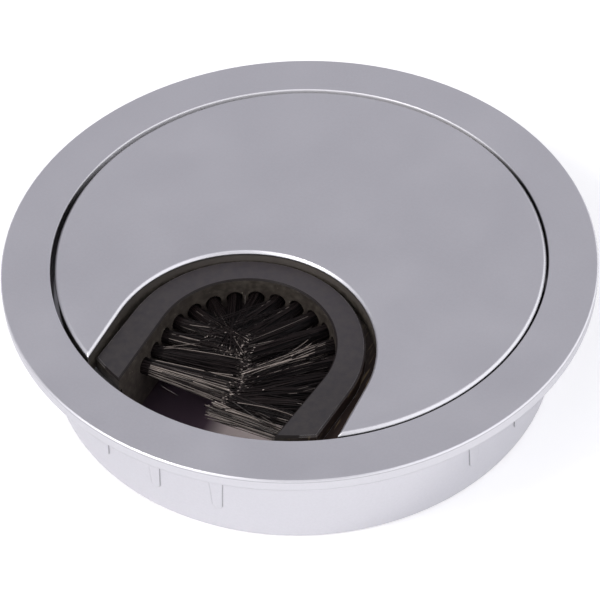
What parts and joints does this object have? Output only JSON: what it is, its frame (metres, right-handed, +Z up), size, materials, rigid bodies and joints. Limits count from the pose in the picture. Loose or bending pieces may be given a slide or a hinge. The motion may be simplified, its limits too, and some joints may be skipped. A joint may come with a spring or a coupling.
{
  "type": "brush cable grommet",
  "caption": "Round desk cable grommet: a flanged ring with a flush lid whose U-shaped cut is closed by a horseshoe of black bristle tufts",
  "frame": {"origin": "on the ring's axis at the flange's underside, the plane that lies on the desk top", "axes": "+Z up out of the desk; the lid's U-shaped cut opens towards -Y; +X to the right seen from the cut's open side"},
  "size_m": [0.0916, 0.0916, 0.0202],
  "materials": {
    "ring_metal": "satin, fine grained",
    "lid_metal": "satin, fine grained",
    "black_moulding": "satin moulding",
    "black_holder": "satin moulding",
    "screw_steel": "zinc-plated",
    "bristle": "fine synthetic filament"
  },
  "bodies": {
    "root": {"outer_ring": "ring_metal", "lid_cap": "lid_metal", "lid_moulding": "black_moulding", "brush_holder": "black_holder", "holder_screws": "screw_steel", "tuft_left_1": "bristle", "tuft_left_2": "bristle", "tuft_left_3": "bristle", "tuft_left_4": "bristle", "tuft_left_5": "bristle", "tuft_left_6": "bristle", "tuft_left_7": "bristle", "tuft_left_8": "bristle", "tuft_left_9": "bristle", "tuft_right_1": "bristle", "tuft_right_2": "bristle", "tuft_right_3": "bristle", "tuft_right_4": "bristle", "tuft_right_5": "bristle", "tuft_right_6": "bristle", "tuft_right_7": "bristle", "tuft_right_8": "bristle", "tuft_right_9": "bristle", "tuft_right_10": "bristle"}
  },
  "joints": []
}
